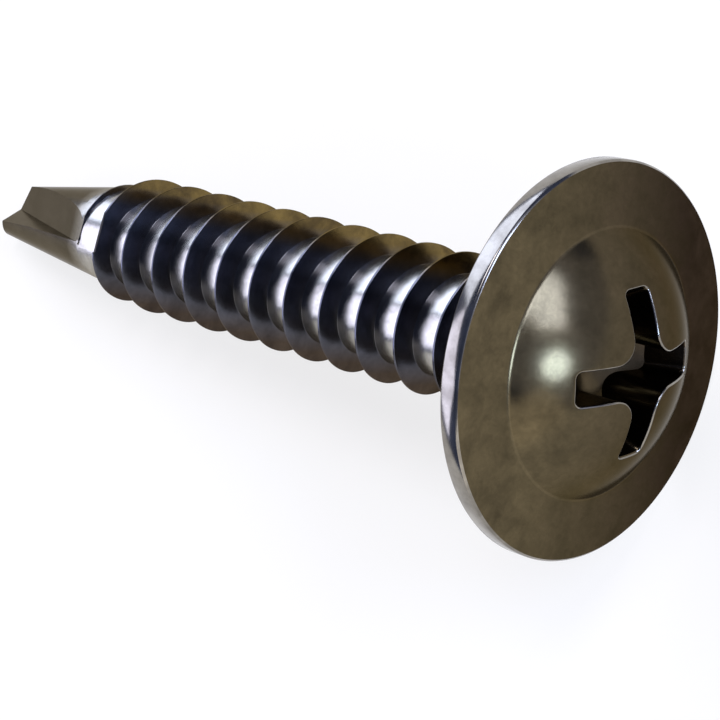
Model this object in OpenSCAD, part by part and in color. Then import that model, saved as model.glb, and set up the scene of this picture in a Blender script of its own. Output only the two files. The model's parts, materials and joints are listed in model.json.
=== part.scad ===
// Self drilling screw with a low domed flange head and a cross recess.
// It is one solid: head, threaded shank and drill point are forged and rolled from one wire.
// It is drawn upright, point down, with the head's bearing face at z = 0,
// and is then laid down the way it comes to rest: on the flange's edge and on its thread,
// with one flute of the drill point facing down.

/* [Head] */
// Diameter of the flange
flange_d = 10.7; // [9.6:0.1:12.4]
// Thickness of the flange at its rim
rim_t = 0.55; // [0.4:0.05:0.9]
// Rise of the flange's upper face from its rim to the dome
flange_rise = 0.14; // [0.04:0.02:0.3]
// Bevel round the rim's upper edge
rim_bevel = 0.06; // [0.02:0.01:0.12]
// Diameter of the dome where it stands on the flange
dome_d = 7.3; // [6.7:0.1:8.5]
// Height of the dome above the flange
dome_h = 1.6; // [1.3:0.05:2]
// How far the fillet under the head reaches beyond the thread
fillet_reach = 0.05; // [0.03:0.01:0.2]

/* [Cross recess] */
// Distance across two opposite arms at the dome's surface
recess_span = 4.48; // [3.9:0.02:5]
// Width of one arm
arm_w = 0.91; // [0.7:0.01:1.1]
// Radius of the four corners between the arms
corner_r = 0.65; // [0.4:0.05:0.8]
// Lean of the end walls of the arms, from the screw's axis
arm_lean = 24; // [18:1:28]
// Depth of the recess below the top of the dome
recess_depth = 2.4; // [2:0.05:2.7]
// Slope of the recess's floor, from level
floor_slope = 25; // [15:1:35]
// Turn of the arms about the screw's axis
recess_turn = 79.4; // [0:0.2:90]

/* [Thread] */
// Outside diameter of the thread
thread_d = 4.2; // [3.9:0.05:4.8]
// Diameter of the shank between the ridges
root_d = 3.04; // [2.8:0.02:3.3]
// Distance from one ridge to the next
pitch = 1.49; // [1.2:0.01:1.8]
// Angle between a ridge's flank and a plane square to the axis
flank_angle = 14; // [8:1:20]
// Width of the flat on a ridge's crest
crest_w = 0.07; // [0.04:0.01:0.14]
// Which way the thread winds
thread_hand = -1; // [-1:left hand, 1:right hand]
// Turns over which the ridge grows to its full height at the point
lead_turns = 1.1; // [0.6:0.1:2]
// Turns over which the ridge fades out below the head
fade_turns = 0.4; // [0.2:0.1:1]
// Length of plain shank between the head and the end of the ridge
neck_l = 0.8; // [0.8:0.05:1.5]
// Turn of the thread's start about the screw's axis
thread_turn = 260; // [240:1:280]

/* [Drill point] */
// Length of the screw below its head
length = 25.1; // [22:0.1:32]
// Length of the drill point, from its tip to the start of the thread
drill_l = 5.4; // [4.8:0.1:6.4]
// Diameter of the drill point at its thick end
drill_d = 3.14; // [2.9:0.02:3.4]
// Diameter of the drill point at its tip
tip_d = 1.88; // [1.6:0.02:2.2]
// Slope of the two facets that end the point, from square
facet_slope = 22.5; // [10:0.5:31]
// Direction in which the first facet falls, about the axis
facet_turn = 107; // [95:1:120]
// Slope of a flute's valley, from the axis
flute_slope = 16.3; // [15:0.1:18]
// Angle between the two walls of a flute
flute_angle = 114; // [95:1:125]
// Angle between a flute's lower wall and the plane of its valley
flute_lean = 10; // [0:1:20]
// Turn of the first flute about the axis
flute_turn = 259.8; // [250:0.2:270]
// Angle that the heel facet takes off a flute's lower wall
heel_angle = 12; // [6:1:16]

/* [Hidden] */
$fn = 96;
big = 20;
overlap = 0.1;

flange_r = flange_d / 2;
dome_r = dome_d / 2;
dome_base = rim_t + flange_rise;
dome_top = dome_base + dome_h;
ball_r = (dome_r * dome_r + dome_h * dome_h) / (2 * dome_h);

arm_reach = recess_span / 2;
arm_level = dome_top - ball_r + sqrt(ball_r * ball_r - arm_reach * arm_reach);
recess_floor = dome_top - recess_depth;

root_r = root_d / 2;
ridge_h = (thread_d - root_d) / 2;
start_z = drill_l - length;
turns = (length - drill_l - neck_l) / pitch;
rows = ceil(turns);
steps = 36;
start_share = 0.08;
foot_min = 0.06;
foot_w = crest_w / 2 + ridge_h * tan(flank_angle);
fillet_r = ridge_h + fillet_reach;
fillet_steps = 6;

drill_top = start_z - crest_w / 2 - foot_min - overlap / 2;
drill_r = drill_d / 2;
tip_r = tip_d / 2;

// Direction about the axis that faces down at rest, where a flute faces down too
// and the ridge is still low.
rest_turn = 50;
rest_tilt = min([for (i = [0:3 * steps]) ridge_tilt(i / steps)]);

// A thin flange whose upper face rises a little to the dome.
module flange() {
    rotate_extrude()
        polygon([
            [0, 0],
            [flange_r, 0],
            [flange_r, rim_t - rim_bevel],
            [flange_r - rim_bevel, rim_t],
            [dome_r, dome_base],
            [0, dome_base]
        ]);
}

// A cap cut from a ball, which stands in the flange.
module dome() {
    intersection() {
        translate([0, 0, dome_top - ball_r])
            sphere(r = ball_r);
        translate([0, 0, rim_t / 2])
            cylinder(h = big, r = dome_r);
    }
}

// A hollow fillet between the bearing face and the shank. It is wider than the thread,
// so a plate whose hole lets the thread through lies flat on the bearing face.
module fillet() {
    hollow = [
        for (i = [1:fillet_steps])
            let (a = 90 * i / fillet_steps)
            [root_r + fillet_r * (1 - cos(a)), fillet_r * (sin(a) - 1)]
    ];
    foot = [[0, -fillet_r], [root_r - overlap / 2, -fillet_r]];
    rotate_extrude()
        polygon(concat(foot, hollow, [[root_r + fillet_r, rim_t / 2], [0, rim_t / 2]]));
}

module head() {
    flange();
    dome();
    fillet();
}

// Outline of the recess from above: two crossed bars whose inner corners are rounded.
module cross_outline() {
    core = arm_w + 2 * corner_r;
    square([2 * big, arm_w], center = true);
    square([arm_w, 2 * big], center = true);
    difference() {
        square(core, center = true);
        for (x = [-1, 1], y = [-1, 1])
            translate([x * core / 2, y * core / 2])
                circle(r = corner_r);
    }
}

// One pair of opposite arms seen from the side, narrower towards the floor.
module arm_wedge() {
    top = dome_top + overlap;
    low = recess_floor - overlap;
    reach_top = arm_reach + (top - arm_level) * tan(arm_lean);
    reach_low = arm_reach + (low - arm_level) * tan(arm_lean);
    rotate([90, 0, 0])
        linear_extrude(height = arm_w + 2 * corner_r, center = true)
            polygon([[-reach_low, low], [reach_low, low], [reach_top, top], [-reach_top, top]]);
}

module recess_cut() {
    floor_h = big * tan(floor_slope);
    rotate([0, 0, recess_turn])
        intersection() {
            translate([0, 0, recess_floor - overlap])
                linear_extrude(height = recess_depth + 3 * overlap)
                    cross_outline();
            union() {
                arm_wedge();
                rotate([0, 0, 90])
                    arm_wedge();
            }
            translate([0, 0, recess_floor])
                cylinder(h = floor_h, r1 = 0, r2 = big);
        }
}

// Height of the ridge after u turns from its start near the point.
function ridge(u) = ridge_h * max(0, min(1, start_share + u / lead_turns, (turns - u) / fade_turns));

// Tilt at which the ridge touches the surface u turns from its start, when the flange's edge does.
function ridge_tilt(u) =
    let (
        angle = thread_turn + sign(thread_hand) * 360 * u,
        reach = (root_r + ridge(u)) * cos(angle - rest_turn)
    )
    atan((flange_r - reach) / (crest_w / 2 - start_z - pitch * u));

// Half the width of the ridge's foot, for a ridge of height h.
function foot(h) = crest_w / 2 + max(foot_min, h * tan(flank_angle));

// The four corners of the ridge's section, as [radius, height], from the point to the head.
function ridge_section(u) =
    let (h = ridge(u), z = start_z + pitch * u)
    [
        [root_r, z - foot(h)],
        [root_r + h, z - crest_w / 2],
        [root_r + h, z + crest_w / 2],
        [root_r, z + foot(h)]
    ];

// One upright row of points: the foot of the shank, every ridge it crosses and the shank's top.
function shank_row(i, low, top) = concat(
    [[root_r, low]],
    [for (k = [0:rows - 1], p = ridge_section(k + i / steps)) p],
    [[root_r, top]]
);

// Shank and right-hand thread as one closed skin. Each row of points meets the next,
// and the last row meets the first one ridge further up.
module shank() {
    low = drill_top - overlap;
    top = max(rim_t / 2, start_z + pitch * rows + foot_w + overlap);
    n = 4 * rows + 2;
    last = (steps - 1) * n;
    points = [
        for (i = [0:steps - 1], p = shank_row(i, low, top))
            [p[0] * cos(360 * i / steps), p[0] * sin(360 * i / steps), p[1]]
    ];
    between = [
        for (i = [0:steps - 2], j = [0:n - 2])
            let (a = i * n + j, b = a + n)
            each [[a, a + 1, b + 1], [a, b + 1, b]]
    ];
    seam = [
        for (j = [1:n - 7])
            let (a = last + j, b = j + 4)
            each [[a, a + 1, b + 1], [a, b + 1, b]]
    ];
    seam_low = [for (j = [0:4]) [last + 1, j + 1, j]];
    seam_top = [for (j = [n - 6:n - 2]) [n - 2, last + j, last + j + 1]];
    ends = [
        [last, last + 1, 0],
        [n - 2, last + n - 1, n - 1],
        [for (i = [0:steps - 1]) i * n],
        [for (i = [steps - 1:-1:0]) i * n + n - 1]
    ];
    polyhedron(points = points, faces = concat(between, seam, seam_low, seam_top, ends), convexity = 10);
}

module threaded_shank() {
    rotate([0, 0, thread_turn])
        mirror([0, thread_hand < 0 ? 1 : 0, 0])
            shank();
}

// A long wedge that cuts one flute. Its edge is the flute's valley, which starts
// on the axis at the tip and rises to the surface of the drill point.
module flute_wedge(lower, upper) {
    translate([0, 0, -length])
        rotate([0, flute_slope, 0])
            translate([0, 0, -big])
                linear_extrude(height = 2 * big)
                    polygon([
                        [0, 0],
                        [big * cos(lower), big * sin(lower)],
                        [big, -big],
                        [big * cos(upper), big * sin(upper)]
                    ]);
}

module flute_cut() {
    upper = flute_lean - flute_angle;
    flute_wedge(flute_lean, upper);
    rotate([0, 0, -heel_angle / 2])
        flute_wedge(flute_lean + heel_angle, upper + 2 * heel_angle);
}

// Two flat facets that fall to opposite sides from an edge across the tip.
module tip_facets() {
    rotate([0, 0, facet_turn])
        rotate([90, 0, 0])
            linear_extrude(height = 2 * big, center = true)
                polygon([
                    [0, -length],
                    [big, big * tan(facet_slope) - length],
                    [big, big],
                    [-big, big],
                    [-big, big * tan(facet_slope) - length]
                ]);
}

module drill_point() {
    body_l = drill_top + length;
    difference() {
        intersection() {
            translate([0, 0, -length])
                cylinder(h = body_l, r1 = tip_r, r2 = drill_r);
            tip_facets();
        }
        rotate([0, 0, flute_turn])
            flute_cut();
        rotate([0, 0, flute_turn + 180])
            flute_cut();
    }
}

module screw() {
    color("#5b534a")
        rotate([0, 90 - rest_tilt, 0])
            rotate([0, 0, -rest_turn])
                difference() {
                    union() {
                        head();
                        threaded_shank();
                        drill_point();
                    }
                    recess_cut();
                }
}

screw();
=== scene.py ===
# %% [markdown]
# # A self drilling screw
# The screw is one piece of hardened steel wire. Its head is forged, its drill point is
# pinched and its thread is rolled, so the scene has one object. It is built upright in
# millimetres, point down, with the head's bearing face at height 0, and is then laid down
# the way the solid lies. Three forms make it: a head lofted from rings, a shank whose
# thread is a strip wound by geometry nodes, and cutters for the drill point.

# %% Setup
import json
import math

import bmesh
import bpy
import numpy as np
from mathutils import Matrix, Vector


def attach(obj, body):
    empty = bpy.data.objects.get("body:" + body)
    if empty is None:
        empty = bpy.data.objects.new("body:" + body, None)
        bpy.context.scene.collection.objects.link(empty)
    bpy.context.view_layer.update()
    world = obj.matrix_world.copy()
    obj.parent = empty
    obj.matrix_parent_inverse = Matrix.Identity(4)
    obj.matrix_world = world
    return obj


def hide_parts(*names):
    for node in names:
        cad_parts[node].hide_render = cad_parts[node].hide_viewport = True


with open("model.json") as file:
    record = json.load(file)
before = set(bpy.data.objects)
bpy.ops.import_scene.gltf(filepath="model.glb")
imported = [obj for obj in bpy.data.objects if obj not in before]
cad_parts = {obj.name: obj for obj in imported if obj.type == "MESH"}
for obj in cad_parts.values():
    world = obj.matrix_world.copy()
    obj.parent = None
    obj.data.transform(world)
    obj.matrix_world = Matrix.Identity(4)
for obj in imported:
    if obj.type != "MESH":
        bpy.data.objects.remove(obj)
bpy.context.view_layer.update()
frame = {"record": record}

mounts = {mount["name"]: mount for mount in frame["record"]["mounts"]}

# %% [markdown]
# ## Resting place
# The screw's axis comes from the bearing face's mount. `REST_TURN` is the direction about
# the axis that faces down, where one flute faces down too. A point of the upright screw is
# turned by it about the axis, and the axis is then tipped over to lie along +X.

# %% Resting place
REST_TURN = math.radians(50)
MM = 0.001

away = Vector(mounts["bearing_face"]["axis"])
rest_tilt = math.asin(-away.z)
laid_down = (
    Matrix.Rotation(math.pi / 2 - rest_tilt, 4, "Y")
    @ Matrix.Rotation(-REST_TURN, 4, "Z")
    @ Matrix.Scale(MM, 4)
)
print("axis falls", round(math.degrees(rest_tilt), 3), "degrees towards the point")

# %% [markdown]
# ## Head
# The head is forged in one blow: a thin flange, a low dome on it and the cross recess that
# the punch leaves. A loft keeps every ring in step with the recess's outline, so the
# recess's edge, the dome and the flange share one clean skin with no cut between them.

# %% Head's sizes in mm
FLANGE_R = 5.35
RIM_T = 0.55
RIM_BEVEL = 0.06
DOME_R = 3.65
DOME_BASE = 0.69
DOME_TOP = 2.29
BALL_R = 4.963
ARM_REACH = 2.24
ARM_HALF_W = 0.455
INNER_CORNER_R = 0.656
END_CORNER_R = 0.19
ARM_LEAN = math.tan(math.radians(24))
FLOOR_Z = -0.11
FLOOR_SLOPE = math.tan(math.radians(25))
RECESS_TURN = math.radians(79.4)
EDGE_R = 0.06
ROOT_R = 1.52
FILLET_R = 0.63

ball_z = DOME_TOP - BALL_R
arm_level = ball_z + math.sqrt(BALL_R**2 - ARM_REACH**2)


def dome_height(radius):
    return ball_z + np.sqrt(BALL_R**2 - radius**2)


# %% [markdown]
# One arm of the recess runs from the middle of one rounded inner corner to the middle of
# the next. `outline` gives all four arms from above, with the same number of points
# whatever the arms' reach, and the outward direction at each point.

# %% Outline of the recess
def half_arm(reach):
    """Points from the middle of the inner corner to the middle of the arm's end."""
    centre = ARM_HALF_W + INNER_CORNER_R
    inner = [math.radians(225 + 45 * i / 14) for i in range(14)]
    points = [
        (centre + INNER_CORNER_R * math.cos(a), centre + INNER_CORNER_R * math.sin(a))
        for a in inner
    ]
    normals = [(-math.cos(a), -math.sin(a)) for a in inner]
    side_end = reach - END_CORNER_R
    for i in range(14):
        points.append((centre + (side_end - centre) * i / 14, ARM_HALF_W))
        normals.append((0.0, 1.0))
    for i in range(9):
        a = math.radians(90 - 90 * i / 8)
        points.append((
            side_end + END_CORNER_R * math.cos(a),
            ARM_HALF_W - END_CORNER_R + END_CORNER_R * math.sin(a),
        ))
        normals.append((math.cos(a), math.sin(a)))
    for i in range(1, 7):
        points.append((reach, (ARM_HALF_W - END_CORNER_R) * (1 - i / 6)))
        normals.append((1.0, 0.0))
    return np.array(points), np.array(normals)


def outline(reach):
    """The whole outline for an arm's reach at every point, as places and outward directions."""
    places, outward = [], []
    half = len(half_arm(ARM_REACH)[0])
    per_arm = 2 * half - 2
    for arm in range(4):
        for k in range(per_arm):
            number = arm * per_arm + k
            index = k if k < half else 2 * half - 2 - k
            points, normals = half_arm(reach[number])
            place, normal = points[index], normals[index]
            if k < half:
                place, normal = place * (1, -1), normal * (1, -1)
            turn = RECESS_TURN + arm * math.pi / 2
            spin = np.array([[math.cos(turn), math.sin(turn)], [-math.sin(turn), math.cos(turn)]])
            places.append(place @ spin)
            outward.append(normal @ spin)
    return np.array(places), np.array(outward)


count = 4 * (2 * len(half_arm(ARM_REACH)[0]) - 2)
print("points round the head:", count)

# %% [markdown]
# The rings run from the recess's floor up its walls, over the rounded edge, across the
# dome and the flange, round the rim and under the head to the fillet. The end walls lean,
# so each wall ring takes its reach from its own height.

# %% Rings of the head
def at_height(height):
    return outline(ARM_REACH + (height - arm_level) * ARM_LEAN)[0]


top = np.full(count, arm_level)
foot = np.full(count, 0.3)
for _ in range(12):
    foot = FLOOR_Z + np.linalg.norm(at_height(foot), axis=1) * FLOOR_SLOPE
    top = dome_height(np.linalg.norm(at_height(top), axis=1))

rings = []
foot_places = at_height(foot)
for share in (0.2, 0.4, 0.6, 0.8, 0.9):
    ring = foot_places * share
    rings.append(np.c_[ring, FLOOR_Z + np.linalg.norm(ring, axis=1) * FLOOR_SLOPE])
for share in np.linspace(0, 1, 9):
    height = foot + (top - EDGE_R - foot) * share
    rings.append(np.c_[at_height(height), height])

edge_places = at_height(top)
outward = outline(ARM_REACH + (top - arm_level) * ARM_LEAN)[1]
for angle in np.radians([18, 36, 54, 72, 90]):
    ring = edge_places + outward * EDGE_R * (1 - math.cos(angle))
    height = dome_height(np.linalg.norm(ring, axis=1)) - EDGE_R * (1 - math.sin(angle))
    rings.append(np.c_[ring, height])

start = rings[-1][:, :2]
around = np.arctan2(start[:, 1], start[:, 0])
circle = np.c_[np.cos(around), np.sin(around)]
for share in np.linspace(0, 1, 15)[1:]:
    ring = start + (circle * (DOME_R - 0.07) - start) * share
    rings.append(np.c_[ring, dome_height(np.linalg.norm(ring, axis=1))])

flange_slope = (DOME_BASE - RIM_T) / (FLANGE_R - RIM_BEVEL - DOME_R)
joint = [
    np.array([DOME_R - 0.07, dome_height(DOME_R - 0.07)]),
    np.array([DOME_R, DOME_BASE]),
    np.array([DOME_R + 0.09, DOME_BASE - 0.09 * flange_slope]),
]
profile = []
for share in (0.2, 0.4, 0.6, 0.8, 1.0):
    profile.append(
        joint[0] * (1 - share) ** 2 + joint[1] * 2 * share * (1 - share) + joint[2] * share**2
    )
for radius in np.linspace(DOME_R + 0.3, FLANGE_R - RIM_BEVEL - 0.03, 6):
    profile.append((radius, RIM_T + (FLANGE_R - RIM_BEVEL - radius) * flange_slope))
profile += [
    (FLANGE_R - RIM_BEVEL, RIM_T - 0.002),
    (FLANGE_R - 0.012, RIM_T - 0.045),
    (FLANGE_R, RIM_T - 0.075),
    (FLANGE_R, 0.3),
    (FLANGE_R, 0.05),
    (FLANGE_R - 0.015, 0.012),
    (FLANGE_R - 0.05, 0.0),
    (4.0, 0.0),
    (3.0, 0.0),
]
for angle in np.radians(np.linspace(90, 6, 9)):
    profile.append((ROOT_R + FILLET_R * (1 - math.cos(angle)), FILLET_R * (math.sin(angle) - 1)))
profile += [(ROOT_R - 0.05, -FILLET_R + 0.02), (ROOT_R - 0.05, -FILLET_R - 0.2)]
for radius, height in profile:
    rings.append(np.c_[circle * radius, np.full(count, height)])

# %% [markdown]
# `close_mesh` makes a Blender mesh from points and faces, joins equal points and turns the
# faces outwards. It prints the volume and the number of open edges, which show at once whether
# a skin is closed, and gives back the new object.

# %% Closed mesh
def close_mesh(name, points, faces):
    mesh = bpy.data.meshes.new(name)
    mesh.from_pydata([tuple(p) for p in points], [], faces)
    work = bmesh.new()
    work.from_mesh(mesh)
    bmesh.ops.remove_doubles(work, verts=work.verts, dist=0.0005)
    bmesh.ops.recalc_face_normals(work, faces=work.faces)
    if work.calc_volume(signed=True) < 0:
        bmesh.ops.reverse_faces(work, faces=work.faces)
    open_edges = sum(1 for edge in work.edges if len(edge.link_faces) != 2)
    print(name, "volume", round(work.calc_volume(), 3), "mm3, open edges", open_edges)
    work.to_mesh(mesh)
    work.free()
    piece = bpy.data.objects.new(name, mesh)
    bpy.context.scene.collection.objects.link(piece)
    return piece


# %% Head
head_points = [(0, 0, FLOOR_Z)] + [tuple(p) for ring in rings for p in ring]
head_points.append((0, 0, -FILLET_R - 0.2))
head_faces = []
for i in range(count):
    j = (i + 1) % count
    head_faces.append((0, 1 + i, 1 + j))
    last = 1 + (len(rings) - 1) * count
    head_faces.append((len(head_points) - 1, last + j, last + i))
    for k in range(len(rings) - 1):
        low, high = 1 + k * count, 1 + (k + 1) * count
        head_faces.append((low + i, high + i, high + j, low + j))
head = close_mesh("head", head_points, head_faces)

# %% [markdown]
# ## Shank, thread and drill body
# A rolled thread is one strip of the same section that winds round the wire, and it is made
# that way here: a grid whose short side crosses one pitch and whose long side winds down
# the screw. Each turn's edge meets the next one's, so the strip closes into a solid. The
# ridge grows slowly from its start above the drill point, where the wire keeps its full
# thickness on the side that the rolls haven't reached.

# %% Thread's inputs
THREAD = {
    "Turns Below": 5.0,
    "Turns In All": 19.0,
    "Thread Turns": 12.7,
    "Pitch": 1.49,
    "Start Height": -19.7,
    "Start Angle": math.radians(260),
    "Hand": -1.0,
    "Root Radius": 1.52,
    "Ridge Height": 0.58,
    "Crest Width": 0.07,
    "Flank Slope": math.tan(math.radians(14)),
    "First Share": 0.08,
    "Lead Turns": 1.1,
    "Fade Turns": 0.4,
    "Blank Radius": 1.552,
    "Cone Radius": 0.891,
    "Cone Slope": 0.1275,
    "Cone Lean": 0.019,
    "Point Height": -25.02,
    "Low End": -25.5,
    "High End": -0.35,
}
COLUMNS = 22
STEPS = 120


def add_node(tree, kind, inputs=None, **settings):
    """Add a node, set its properties, and link or set each of its inputs."""
    node = tree.nodes.new(kind)
    for name, value in settings.items():
        setattr(node, name, value)
    for key, value in (inputs or {}).items():
        if isinstance(value, bpy.types.NodeSocket):
            tree.links.new(value, node.inputs[key])
        else:
            node.inputs[key].default_value = value
    return node


# %% [markdown]
# Each line of `SUM` is one step of the strip's formula. `across` runs from -0.5 to 0.5 over
# a pitch and `turn` counts the turns from the thread's start. The columns stand close
# together at the crest's edges and at the ridge's feet, where the section bends. A line
# marked clamped stays between 0 and 1.

# %% Formula of the strip
SUM = [
    ("half turns", "MULTIPLY", "Turns In All", 0.5),
    ("from end", "ADD", "along", "half turns"),
    ("turn", "SUBTRACT", "from end", "Turns Below"),
    ("aside", "ABSOLUTE", "across"),
    ("column", "MULTIPLY", "aside", float(COLUMNS)),
    ("side", "SIGN", "across"),
    ("past middle", "LESS_THAN", "across", 0.0),
    ("cut turn", "SUBTRACT", "turn", "past middle"),
    ("cut share", "MULTIPLY_ADD clamped", "cut turn", 30.0, 0.5),
    ("started", "GREATER_THAN", "turn", -0.004),
    ("lead", "DIVIDE", "turn", "Lead Turns"),
    ("grown", "ADD", "lead", "First Share"),
    ("left", "SUBTRACT", "Thread Turns", "turn"),
    ("fading", "DIVIDE", "left", "Fade Turns"),
    ("lower", "MINIMUM", "grown", "fading"),
    ("capped", "MINIMUM", "lower", 1.0),
    ("share", "MAXIMUM", "capped", -0.3),
    ("crest", "MULTIPLY_ADD", "share", "Ridge Height", "Root Radius"),
    ("crest radius", "MULTIPLY", "crest", "started"),
    ("ridge", "SUBTRACT", "crest radius", "Root Radius"),
    ("slant", "MULTIPLY", "ridge", "Flank Slope"),
    ("flank width", "MAXIMUM", "slant", 0.045),
    ("half crest", "MULTIPLY", "Crest Width", 0.5),
    ("half pitch", "MULTIPLY", "Pitch", 0.5),
    ("crest flat", "SUBTRACT", "half crest", 0.01),
    ("crest part", "MINIMUM", "column", 1.0),
    ("s1", "MULTIPLY", "crest part", "crest flat"),
    ("after 1", "SUBTRACT", "column", 1.0),
    ("bend part", "MULTIPLY clamped", "after 1", 0.5),
    ("s2", "MULTIPLY_ADD", "bend part", 0.02, "s1"),
    ("after 3", "SUBTRACT", "column", 3.0),
    ("flank part", "MULTIPLY clamped", "after 3", 0.5),
    ("flank flat", "SUBTRACT", "flank width", 0.02),
    ("s3", "MULTIPLY_ADD", "flank part", "flank flat", "s2"),
    ("after 5", "SUBTRACT", "column", 5.0),
    ("foot part", "MULTIPLY clamped", "after 5", 0.25),
    ("s4", "MULTIPLY_ADD", "foot part", 0.02, "s3"),
    ("after 9", "SUBTRACT", "column", 9.0),
    ("root part", "MULTIPLY clamped", "after 9", 0.5),
    ("foot end", "ADD", "half crest", "flank width"),
    ("foot edge", "ADD", "foot end", 0.01),
    ("root width", "SUBTRACT", "half pitch", "foot edge"),
    ("offset", "MULTIPLY_ADD", "root part", "root width", "s4"),
    ("signed offset", "MULTIPLY", "offset", "side"),
    ("middle", "MULTIPLY_ADD", "turn", "Pitch", "Start Height"),
    ("height", "ADD", "middle", "signed offset"),
    ("off crest", "SUBTRACT", "offset", "half crest"),
    ("drop", "DIVIDE", "off crest", "Flank Slope"),
    ("flank", "SUBTRACT", "crest radius", "drop"),
    ("ridge radius", "SMOOTH_MIN", "crest radius", "flank", 0.04),
    ("above point", "SUBTRACT", "height", "Point Height"),
    ("cone", "MULTIPLY_ADD", "above point", "Cone Slope", "Cone Radius"),
    ("blank", "SMOOTH_MIN", "cone", "Blank Radius", 0.01),
    ("cut depth", "SUBTRACT", "Root Radius", "blank"),
    ("base", "MULTIPLY_ADD", "cut depth", "cut share", "blank"),
    ("skin", "SMOOTH_MAX", "base", "ridge radius", 0.02),
    ("over low", "GREATER_THAN", "height", "Low End"),
    ("under high", "LESS_THAN", "height", "High End"),
    ("inside", "MULTIPLY", "over low", "under high"),
    ("radius", "MULTIPLY", "skin", "inside"),
    ("z low", "MAXIMUM", "height", "Low End"),
    ("z", "MINIMUM", "z low", "High End"),
    ("wound", "MULTIPLY", "turn", 2 * math.pi),
    ("angle", "MULTIPLY_ADD", "wound", "Hand", "Start Angle"),
    ("cosine", "COSINE", "angle"),
    ("sine", "SINE", "angle"),
    ("below", "SUBTRACT", "Start Height", "z"),
    ("on point", "MAXIMUM", "below", 0.0),
    ("lean", "MULTIPLY", "on point", "Cone Lean"),
    ("lean x", "MULTIPLY", "lean", math.cos(math.radians(-22))),
    ("lean y", "MULTIPLY", "lean", math.sin(math.radians(-22))),
    ("x", "MULTIPLY_ADD", "radius", "cosine", "lean x"),
    ("y", "MULTIPLY_ADD", "radius", "sine", "lean y"),
]

# %% Tree of the strip
tree = bpy.data.node_groups.new("wound thread", "GeometryNodeTree")
tree.interface.new_socket("Geometry", in_out="OUTPUT", socket_type="NodeSocketGeometry")
tree.interface.new_socket("Material", in_out="INPUT", socket_type="NodeSocketMaterial")
for name, value in THREAD.items():
    socket = tree.interface.new_socket(name, in_out="INPUT", socket_type="NodeSocketFloat")
    socket.default_value = value
group_in = add_node(tree, "NodeGroupInput")
rows = round(THREAD["Turns In All"] * STEPS) + 1
grid = add_node(
    tree,
    "GeometryNodeMeshGrid",
    {
        "Size X": 1.0,
        "Size Y": group_in.outputs["Turns In All"],
        "Vertices X": COLUMNS + 1,
        "Vertices Y": rows,
    },
)
position = add_node(tree, "GeometryNodeInputPosition")
place = add_node(tree, "ShaderNodeSeparateXYZ", {0: position.outputs[0]})
values = {name: group_in.outputs[name] for name in THREAD}
values["across"] = place.outputs["X"]
values["along"] = place.outputs["Y"]
for name, operation, *terms in SUM:
    kind, _, clamped = operation.partition(" ")
    inputs = {i: values[term] if isinstance(term, str) else term for i, term in enumerate(terms)}
    node = add_node(tree, "ShaderNodeMath", inputs, operation=kind, use_clamp=bool(clamped))
    values[name] = node.outputs[0]
point = add_node(
    tree, "ShaderNodeCombineXYZ", {"X": values["x"], "Y": values["y"], "Z": values["z"]}
)
moved = add_node(
    tree,
    "GeometryNodeSetPosition",
    {"Geometry": grid.outputs["Mesh"], "Position": point.outputs[0]},
)
joined = add_node(
    tree, "GeometryNodeMergeByDistance", {"Geometry": moved.outputs[0], "Distance": 0.0015}
)
real = add_node(tree, "GeometryNodeRealizeInstances", {"Geometry": joined.outputs[0]})
dressed = add_node(
    tree,
    "GeometryNodeSetMaterial",
    {"Geometry": real.outputs[0], "Material": group_in.outputs["Material"]},
)
add_node(tree, "NodeGroupOutput", {"Geometry": dressed.outputs[0]})
print("nodes in the tree:", len(tree.nodes), "rows:", rows)

# %% [markdown]
# The materials are named before the strip is wound, because the tree sets the first one.
# Their looks are worked out further down.

# %% Wound shank
steel = bpy.data.materials.new("hardened dark steel")
punched = bpy.data.materials.new("punched dark steel")
rubbed_and_highlit = bpy.data.materials.new("rubbed steel edge")

carrier = bpy.data.objects.new("carrier", bpy.data.meshes.new("carrier"))
bpy.context.scene.collection.objects.link(carrier)
modifier = carrier.modifiers.new("wound thread", "NODES")
modifier.node_group = tree
sockets = {
    item.name: item.identifier
    for item in tree.interface.items_tree
    if item.in_out == "INPUT"
}
modifier[sockets["Material"]] = steel
for name, value in THREAD.items():
    modifier[sockets[name]] = value
bpy.context.view_layer.update()
graph = bpy.context.evaluated_depsgraph_get()
wound = bpy.data.meshes.new_from_object(carrier.evaluated_get(graph))
bpy.data.objects.remove(carrier)
wound_points = [tuple(v.co) for v in wound.vertices]
wound_faces = [tuple(p.vertices) for p in wound.polygons]
shank = close_mesh("shank", wound_points, wound_faces)
bpy.data.meshes.remove(wound)

# %% [markdown]
# ## Drill point
# Two dies pinch the wire's end into a point with two flutes. Each flute has a flat back
# wall and a flat lower wall that meet in a valley. A small heel facet takes the lower
# wall's corner down at the tip, and two facets end the point. Each is cut with a long
# prism whose edge is the valley. The back wall follows its edges in the picture and leans
# about 2.5 degrees more than the solid's.

# %% Cutters
REACH = 12.0
tip = Vector((0, 0, THREAD["Point Height"]))


def prism(name, origin, along, corners):
    """A long prism through origin, whose section has these corners."""
    along = along.normalized()
    points = [
        origin + side * along * REACH + corner * REACH for side in (-1, 1) for corner in corners
    ]
    faces = [(0, 1, 2, 3), (7, 6, 5, 4)]
    faces += [(i, i + 4, (i + 1) % 4 + 4, (i + 1) % 4) for i in range(4)]
    return close_mesh(name, points, faces)


def boolean(piece, cutter, operation):
    modifier = piece.modifiers.new(operation, "BOOLEAN")
    modifier.operation = operation
    modifier.object = cutter
    modifier.solver = "MANIFOLD"
    bpy.context.view_layer.update()
    graph = bpy.context.evaluated_depsgraph_get()
    result = bpy.data.meshes.new_from_object(piece.evaluated_get(graph))
    piece.modifiers.clear()
    old = piece.data
    piece.data = result
    bpy.data.meshes.remove(old)
    bpy.data.objects.remove(cutter)
    print(piece.name, operation, "faces", len(piece.data.polygons))


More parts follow.
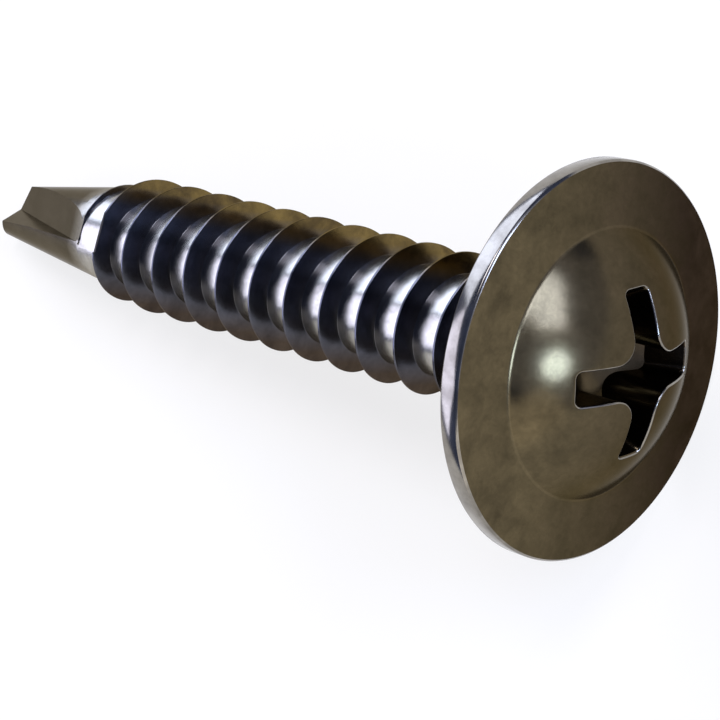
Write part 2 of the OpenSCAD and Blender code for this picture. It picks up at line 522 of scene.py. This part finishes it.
UP = Vector((0, 0, 1))
FLUTE_TURN = 248
BACK_LEAN = 0.1
for number in range(2):
    turn = Matrix.Rotation(math.radians(FLUTE_TURN + 180 * number), 3, "Z")
    out = turn @ Vector((1, 0, 0))
    over = turn @ Vector((0, -1, 0))
    back = (over - BACK_LEAN * out).normalized()
    for name, valley, lower in (
        ("flute", UP + 0.2917 * out - 0.0583 * over, (out - 0.3855 * over).normalized()),
        ("heel", UP + 0.2882 * out - 0.0234 * over, (out - 0.509 * over).normalized()),
    ):
        corners = [Vector(), back, back + lower, lower]
        boolean(shank, prism(name, tip, valley, corners), "DIFFERENCE")

OVER_TURN = FLUTE_TURN - 90
out = Vector((math.cos(math.radians(FLUTE_TURN)), math.sin(math.radians(FLUTE_TURN)), 0))
over = Vector((math.cos(math.radians(OVER_TURN)), math.sin(math.radians(OVER_TURN)), 0))
for over_slope, out_slope in ((-0.293, -0.369), (-0.65, 0.2)):
    first = over - over_slope * UP
    second = out - out_slope * UP
    fall = first.cross(second).cross(second).normalized()
    corners = [fall, -fall, -fall - 2 * UP, fall - 2 * UP]
    boolean(shank, prism("end facet", tip, second, corners), "DIFFERENCE")

# %% [markdown]
# ## One body
# The head and the shank become one skin. Edges that bend by more than 30 degrees stay
# sharp, and all faces are shaded smooth between them. On the drill point 6 degrees are
# enough, because a flute's wall runs out into the round body at a shallow angle.

# %% Union
boolean(head, shank, "UNION")
screw = head
screw.name = "screw_body"
screw.data.name = "screw_body"
SHARP = math.radians(30)
SHARP_ON_POINT = math.radians(6)
POINT_TOP = -19.2
work = bmesh.new()
work.from_mesh(screw.data)
bmesh.ops.dissolve_degenerate(work, dist=0.0002, edges=work.edges)
for face in work.faces:
    face.smooth = True
for edge in work.edges:
    limit = SHARP_ON_POINT if edge.verts[0].co.z < POINT_TOP else SHARP
    edge.smooth = len(edge.link_faces) == 2 and edge.calc_face_angle() < limit

# %% [markdown]
# Each face gets one of three finishes: 0 is the dark steel, 1 the punched steel of the
# recess, a fifth lighter, and 2 the rubbed edge, lighter still, which is worn and also paints
# in bright highlight lines. The thin line where the dome meets the flange takes the punched
# finish too, which paints a highlight line there. The places are found in the upright screw.

# %% Finishes
STEEL, PUNCHED, RUBBED_AND_HIGHLIT = 0, 1, 2
RECESS_R = 2.7
finish = []
for face in work.faces:
    middle = face.calc_center_median()
    radius = math.hypot(middle.x, middle.y)
    dome_up = Vector((middle.x, middle.y, middle.z - ball_z)).normalized()
    depth = dome_height(min(radius, DOME_R)) - middle.z
    near_floor = radius < 0.4 and middle.z > -0.2
    in_recess = middle.z > 0.02 and radius < RECESS_R
    on_rim = middle.z > 0.01 and radius > 5.29
    on_joint = middle.z > 0.48 and 3.6 < radius < 3.665
    if near_floor or (in_recess and depth > 0.04):
        finish.append(PUNCHED)
    # The recess's rounded edge and the rim: worn, and painted highlight lines.
    elif in_recess and face.normal.angle(dome_up) > math.radians(20):
        finish.append(RUBBED_AND_HIGHLIT)
    elif on_rim:
        finish.append(RUBBED_AND_HIGHLIT)
    # The joint line: the lighter punched finish paints a highlight line.
    elif on_joint:
        finish.append(PUNCHED)
    else:
        finish.append(STEEL)
work.transform(laid_down)
open_edges = sum(1 for edge in work.edges if len(edge.link_faces) != 2)
print("screw: open edges", open_edges, "volume mm3", round(work.calc_volume() * 1e9, 2))
work.to_mesh(screw.data)
work.free()
screw.data.materials.clear()
for material in (steel, punched, rubbed_and_highlit):
    screw.data.materials.append(material)
for face in screw.data.polygons:
    face.material_index = finish[face.index]
print("faces punched:", finish.count(PUNCHED), "faces rubbed:", finish.count(RUBBED_AND_HIGHLIT))
triangles = sum(len(p.vertices) - 2 for p in screw.data.polygons)
print("triangles:", triangles)

# %% [markdown]
# ## Steel
# The screw is hardened steel with a thin dark oxide, so it stays a metal and only its base
# colour changes over the piece, between two tones of each finish. The clouds are about a
# millimetre wide. The grain over them is a fifth of a millimetre, coarser than a real oxide's,
# because a real one is too fine to show.
#
# The head is olive with random clouds, and goes brown towards one side, which is a painted
# dark reflection. The roots are a light steel, which paints in their bright highlights. The
# flanks are dark blue, a painted reflection of the blue grey walls, and go to straw on the side
# that faces up in the camera's view and to umber on the side that faces down, which are
# painted reflections too. A picture can't tell an oxide from a reflection. Here they are all
# made as finishes that are fixed to the screw, which is a guess, and the sides of the straw and
# the umber are taken from the picture. The drill point is grey brown. The second material is
# the cleaner steel of the recess.

# %% Colour from hex
def linear(colour):
    """Linear values of an sRGB colour written as hex."""
    parts = [int(colour[i:i + 2], 16) / 255 for i in (1, 3, 5)]
    return [p / 12.92 if p <= 0.04045 else ((p + 0.055) / 1.055) ** 2.4 for p in parts] + [1.0]


# %% Steel
# Light and dark tone of each finish.
TONES = {
    "olive": ("#645942", "#494130"),
    # brown: a painted dark reflection on one side of the head, with random clouds
    "brown": ("#382e27", "#231c18"),
    # a light steel on the roots: a painted highlight
    "root_highlight": ("#bbb8b0", "#a29f97"),
    # dark blue on the flanks: a painted reflection of the walls
    "blue_reflection": ("#5c5e68", "#48494f"),
    # straw on the upper side of the flanks: a painted reflection
    "straw_reflection": ("#7d6a40", "#463b2a"),
    # umber on the lower side of the flanks: a painted reflection
    "umber_reflection": ("#53483f", "#3e352f"),
    "ground": ("#605a50", "#534e45"),
}
CLOUDS_PER_MM = 0.9
GRAINS_PER_MM = 5.5
AXIS = (-away.x, -away.y, -away.z)
# The head goes brown towards this side: a painted dark reflection.
TO_DARK_REFLECTION = (0.157, 0.50, -0.853)
# The flanks go to straw on this side, near the camera's upward direction, and to umber on the
# other: painted reflections.
TO_STRAW_REFLECTION = (-0.056, 0.951, 0.304)


def dark_steel(material, head_sheen, flank_sheen, root_sheen, grain_depth, oxide):
    """Nodes of the dark steel, with the roughness of the head, the flanks and the roots."""
    material.use_nodes = True
    tree = material.node_tree
    tree.nodes.clear()
    place = add_node(tree, "ShaderNodeTexCoord").outputs["Object"]
    in_mm = add_node(
        tree, "ShaderNodeVectorMath", {0: place, 1: (1000, 1000, 1000)}, operation="MULTIPLY"
    ).outputs[0]
    clouds = add_node(
        tree,
        "ShaderNodeTexNoise",
        {
            "Vector": in_mm,
            "Scale": CLOUDS_PER_MM,
            "Detail": 8.0,
            "Roughness": 0.62,
            "Distortion": 0.4,
        },
    )
    parchment = add_node(
        tree,
        "ShaderNodeTexNoise",
        {
            "Vector": in_mm,
            "Scale": GRAINS_PER_MM,
            "Detail": 4.0,
            "Roughness": 0.7,
            "Distortion": 0.8,
        },
    )
    # The head's tone drifts at random with the clouds, and goes brown towards one side, which is
    # a painted dark reflection.
    across = add_node(
        tree, "ShaderNodeVectorMath", {0: in_mm, 1: TO_DARK_REFLECTION}, operation="DOT_PRODUCT"
    )
    clouds_and_dark_side = add_node(
        tree,
        "ShaderNodeMath",
        {0: clouds.outputs["Fac"], 1: 5.0, 2: across.outputs["Value"]},
        operation="MULTIPLY_ADD",
    )
    tone_of = {}
    for name, (light, dark) in TONES.items():
        ramp = add_node(tree, "ShaderNodeValToRGB", {"Fac": clouds.outputs["Fac"]})
        ramp.color_ramp.elements[0].position = 0.32
        ramp.color_ramp.elements[0].color = linear(dark)
        ramp.color_ramp.elements[1].position = 0.68
        ramp.color_ramp.elements[1].color = linear(light)
        tone_of[name] = ramp.outputs["Color"]
    share = add_node(
        tree, "ShaderNodeMapRange", {"Value": clouds_and_dark_side.outputs[0], "From Min": 0.0, "From Max": 6.0}
    )
    head = add_node(
        tree,
        "ShaderNodeMix",
        {0: share.outputs["Result"], 6: tone_of["olive"], 7: tone_of["brown"]},
        data_type="RGBA",
    )
    beside = add_node(
        tree, "ShaderNodeVectorMath", {0: in_mm, 1: AXIS}, operation="CROSS_PRODUCT"
    )
    radius = add_node(
        tree, "ShaderNodeVectorMath", {0: beside.outputs[0]}, operation="LENGTH"
    ).outputs["Value"]
    flat_normal = add_node(tree, "ShaderNodeNewGeometry").outputs["True Normal"]
    facing = add_node(
        tree, "ShaderNodeVectorMath", {0: flat_normal, 1: AXIS}, operation="DOT_PRODUCT"
    )
    facing = add_node(
        tree, "ShaderNodeMath", {0: facing.outputs["Value"]}, operation="ABSOLUTE"
    )
    on_side = add_node(
        tree,
        "ShaderNodeMapRange",
        {"Value": facing.outputs[0], "From Min": 0.35, "From Max": 0.6},
    )
    off_root = add_node(
        tree, "ShaderNodeMapRange", {"Value": radius, "From Min": 1.6, "From Max": 1.7}
    )
    on_flank = add_node(
        tree,
        "ShaderNodeMath",
        {0: on_side.outputs["Result"], 1: off_root.outputs["Result"]},
        operation="MAXIMUM",
    )
    # Painted reflections: straw on the flanks' upper side, umber on their lower side.
    upper = add_node(
        tree, "ShaderNodeVectorMath", {0: in_mm, 1: TO_STRAW_REFLECTION}, operation="DOT_PRODUCT"
    ).outputs["Value"]
    straw_reflection_side = add_node(
        tree, "ShaderNodeMapRange", {"Value": upper, "From Min": 1.2, "From Max": 1.8}
    )
    umber_reflection_side = add_node(
        tree, "ShaderNodeMapRange", {"Value": upper, "From Min": -1.1, "From Max": -1.8}
    )
    # The flanks' dark blue is a painted reflection of the blue grey walls.
    flank = add_node(
        tree,
        "ShaderNodeMix",
        {0: straw_reflection_side.outputs["Result"], 6: tone_of["blue_reflection"], 7: tone_of["straw_reflection"]},
        data_type="RGBA",
    )
    flank = add_node(
        tree,
        "ShaderNodeMix",
        {0: umber_reflection_side.outputs["Result"], 6: flank.outputs[2], 7: tone_of["umber_reflection"]},
        data_type="RGBA",
    )
    # The roots take the light tone, a painted highlight, and the flanks take the painted
    # reflections.
    thread = add_node(
        tree,
        "ShaderNodeMix",
        {0: on_flank.outputs[0], 6: tone_of["root_highlight"], 7: flank.outputs[2]},
        data_type="RGBA",
    )
    along = add_node(tree, "ShaderNodeSeparateXYZ", {0: in_mm}).outputs["X"]
    below_head = add_node(
        tree, "ShaderNodeMapRange", {"Value": along, "From Min": -0.6, "From Max": -1.6}
    )
    above_point = add_node(
        tree, "ShaderNodeMapRange", {"Value": along, "From Min": -20.3, "From Max": -19.3}
    )
    rolled = add_node(
        tree,
        "ShaderNodeMath",
        {0: below_head.outputs["Result"], 1: above_point.outputs["Result"]},
        operation="MULTIPLY",
    )
    ends = add_node(
        tree,
        "ShaderNodeMix",
        {0: above_point.outputs["Result"], 6: tone_of["ground"], 7: head.outputs[2]},
        data_type="RGBA",
    )
    tone = add_node(
        tree,
        "ShaderNodeMix",
        {0: rolled.outputs[0], 6: ends.outputs[2], 7: thread.outputs[2]},
        data_type="RGBA",
    )
    speck = add_node(
        tree,
        "ShaderNodeMapRange",
        {
            "Value": parchment.outputs["Fac"],
            "From Min": 0.3,
            "From Max": 0.7,
            "To Min": 0.86 * oxide,
            "To Max": 1.1 * oxide,
        },
    )
    worn = add_node(
        tree,
        "ShaderNodeVectorMath",
        {0: tone.outputs[2], "Scale": speck.outputs["Result"]},
        operation="SCALE",
    )
    on_thread = add_node(
        tree,
        "ShaderNodeMapRange",
        {"Value": on_flank.outputs[0], "To Min": root_sheen, "To Max": flank_sheen},
    )
    sheen = add_node(
        tree,
        "ShaderNodeMix",
        {0: rolled.outputs[0], 2: head_sheen, 3: on_thread.outputs["Result"]},
    )
    uneven = add_node(
        tree,
        "ShaderNodeMath",
        {0: parchment.outputs["Fac"], 1: 0.05, 2: sheen.outputs[0]},
        operation="MULTIPLY_ADD",
    )
    bump = add_node(
        tree,
        "ShaderNodeBump",
        {"Height": parchment.outputs["Fac"], "Strength": grain_depth, "Distance": 0.00002},
    )
    surface = add_node(
        tree,
        "ShaderNodeBsdfPrincipled",
        {
            "Base Color": worn.outputs[0],
            "Metallic": 1.0,
            "Roughness": uneven.outputs[0],
            "Specular Tint": linear("#c6c1b8"),
            "Normal": bump.outputs["Normal"],
        },
    )
    add_node(tree, "ShaderNodeOutputMaterial", {"Surface": surface.outputs["BSDF"]})
    print(material.name, "nodes:", len(tree.nodes))


dark_steel(
    steel, head_sheen=0.18, flank_sheen=0.18, root_sheen=0.22, grain_depth=0.04, oxide=1.0
)
# The punched finish is a fifth lighter; on the joint line this is a painted highlight.
dark_steel(
    punched, head_sheen=0.2, flank_sheen=0.2, root_sheen=0.2, grain_depth=0.02, oxide=1.2
)

# %% [markdown]
# Handling rubs the oxide off the edges that stand out: the recess's rounded edge, about a
# tenth of a millimetre wide, and the flange's rim, about half a millimetre wide. They are
# lighter and glossier than the faces beside them, and the lighter colour also paints in the
# bright highlight lines along these edges.

# %% Rubbed edge with painted highlight
rubbed_and_highlit.use_nodes = True
tree = rubbed_and_highlit.node_tree
tree.nodes.clear()
place = add_node(tree, "ShaderNodeTexCoord").outputs["Object"]
in_mm = add_node(
    tree, "ShaderNodeVectorMath", {0: place, 1: (1000, 1000, 1000)}, operation="MULTIPLY"
)
patches = add_node(
    tree,
    "ShaderNodeTexNoise",
    {"Vector": in_mm.outputs[0], "Scale": 1.6, "Detail": 3.0, "Roughness": 0.6},
)
# Lighter colour of the rubbed edges: wear, and painted highlight lines along them.
bare_and_highlit = add_node(tree, "ShaderNodeValToRGB", {"Fac": patches.outputs["Fac"]})
bare_and_highlit.color_ramp.elements[0].position = 0.35
bare_and_highlit.color_ramp.elements[0].color = linear("#77726a")
bare_and_highlit.color_ramp.elements[1].position = 0.65
bare_and_highlit.color_ramp.elements[1].color = linear("#928d84")
smooth = add_node(
    tree, "ShaderNodeMapRange", {"Value": patches.outputs["Fac"], "To Min": 0.2, "To Max": 0.12}
)
surface = add_node(
    tree,
    "ShaderNodeBsdfPrincipled",
    {"Base Color": bare_and_highlit.outputs["Color"], "Metallic": 1.0, "Roughness": smooth.outputs["Result"]},
)
add_node(tree, "ShaderNodeOutputMaterial", {"Surface": surface.outputs["BSDF"]})

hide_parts("screw")
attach(screw, "root")

# %% [markdown]
# ## Floor, light and camera
# The screw lies on a plain white sheet in a studio with blue grey walls. Five soft boxes
# stand a metre away, and two large dim ones behind them stand for pale walls. Rays from the
# camera, and those that gloss sends on, see the sheet mostly lit by itself, so it is white in
# the picture and in the steel and still keeps a soft shadow. The boxes stand where their
# reflections are in the picture, and are stronger than a plain level, because dark metal
# shows little but what it reflects.

# %% Floor
floor_z = min(v.co.z for v in screw.data.vertices)
floor_mesh = bpy.data.meshes.new("floor")
floor_mesh.from_pydata(
    [(-0.6, -0.6, floor_z), (0.6, -0.6, floor_z), (0.6, 0.6, floor_z), (-0.6, 0.6, floor_z)],
    [],
    [(0, 1, 2, 3)],
)
floor = bpy.data.objects.new("floor", floor_mesh)
bpy.context.scene.collection.objects.link(floor)
paper = bpy.data.materials.new("white paper")
paper.use_nodes = True
tree = paper.node_tree
tree.nodes.clear()
white = add_node(tree, "ShaderNodeBsdfDiffuse", {"Color": linear("#fdf3e2")})
glow = add_node(tree, "ShaderNodeEmission", {"Color": (1, 1, 1, 1), "Strength": 1.0})
rays = add_node(tree, "ShaderNodeLightPath")
seen = add_node(
    tree,
    "ShaderNodeMath",
    {0: rays.outputs["Is Camera Ray"], 1: rays.outputs["Is Glossy Ray"]},
    operation="MAXIMUM",
)
seen = add_node(
    tree,
    "ShaderNodeMath",
    {0: seen.outputs[0], 1: rays.outputs["Is Transmission Ray"]},
    operation="MAXIMUM",
)
own_light = add_node(tree, "ShaderNodeMath", {0: seen.outputs[0], 1: 0.72}, operation="MULTIPLY")
sheet = add_node(
    tree,
    "ShaderNodeMixShader",
    {0: own_light.outputs[0], 1: white.outputs[0], 2: glow.outputs[0]},
)
add_node(tree, "ShaderNodeOutputMaterial", {"Surface": sheet.outputs[0]})
floor_mesh.materials.append(paper)

# %% World
world = bpy.data.worlds.new("grey studio")
bpy.context.scene.world = world
world.use_nodes = True
tree = world.node_tree
tree.nodes.clear()
walls = add_node(tree, "ShaderNodeBackground", {"Color": linear("#556083"), "Strength": 1.0})
add_node(tree, "ShaderNodeOutputWorld", {"Surface": walls.outputs[0]})

# %% Lights
LUMINANCE = (0.2126, 0.7152, 0.0722)
WALL_DISTANCE = 1.3


def soft_box(
    name, azimuth, elevation, width, height, radiance, colour, shape="RECTANGLE", distance=1.0
):
    """A soft box that spans these angles in degrees, seen from the screw."""
    data = bpy.data.lights.new(name, "AREA")
    data.shape = shape
    data.size = 2 * distance * math.tan(math.radians(width / 2))
    data.size_y = 2 * distance * math.tan(math.radians(height / 2))
    area = data.size * data.size_y * (1 if shape == "RECTANGLE" else math.pi / 4)
    tint = linear(colour)[:3]
    data.color = tint
    brightness = sum(weight * part for weight, part in zip(LUMINANCE, tint))
    data.energy = radiance * math.pi * area / brightness
    light = bpy.data.objects.new(name, data)
    bpy.context.scene.collection.objects.link(light)
    azimuth, elevation = math.radians(azimuth), math.radians(elevation)
    direction = Vector((
        math.cos(elevation) * math.cos(azimuth),
        math.cos(elevation) * math.sin(azimuth),
        math.sin(elevation),
    ))
    facing = direction.to_track_quat("Z", "Y").to_matrix().to_4x4()
    light.matrix_world = Matrix.Translation(direction * distance) @ facing
    share = radiance * area / distance**2 * math.sin(elevation) / math.pi
    print(name, "watts", round(data.energy, 2), "share of a white floor's light", round(share, 3))


soft_box("wide box", 143, 27, 50, 44, 3.3, "#dbe5ff")
soft_box("side box", 205, 24, 42, 38, 3.0, "#e2e4ff")
soft_box("round box", -10, 25, 17, 17, 13.0, "#b8d4ff", "ELLIPSE")
soft_box("front box", 31, 38, 31, 18, 7.5, "#c0d2ff")
soft_box("top box", 74, 66, 20, 20, 7.0, "#f2f2ff")
soft_box("pale wall", 16, 26, 84, 56, 0.45, "#f4f4ff", distance=WALL_DISTANCE)
soft_box("low wall", -62, 9, 70, 38, 1.3, "#fffaf0", distance=WALL_DISTANCE)

# %% Camera
camera_data = bpy.data.cameras.new("camera")
camera_data.sensor_width = 36.0
camera_data.lens = 102.264
camera_data.clip_start = 0.005
camera = bpy.data.objects.new("camera", camera_data)
bpy.context.scene.collection.objects.link(camera)
right = Vector((0.799852, 0.357237, -0.482305))
upward = Vector((-0.258941, 0.930336, 0.259663))
camera.matrix_world = Matrix.Translation((0.0244223, -0.0065228, 0.0476379)) @ Matrix((
    right, upward, right.cross(upward)
)).transposed().to_4x4()
bpy.context.scene.camera = camera
bpy.context.scene.view_settings.view_transform = "Standard"
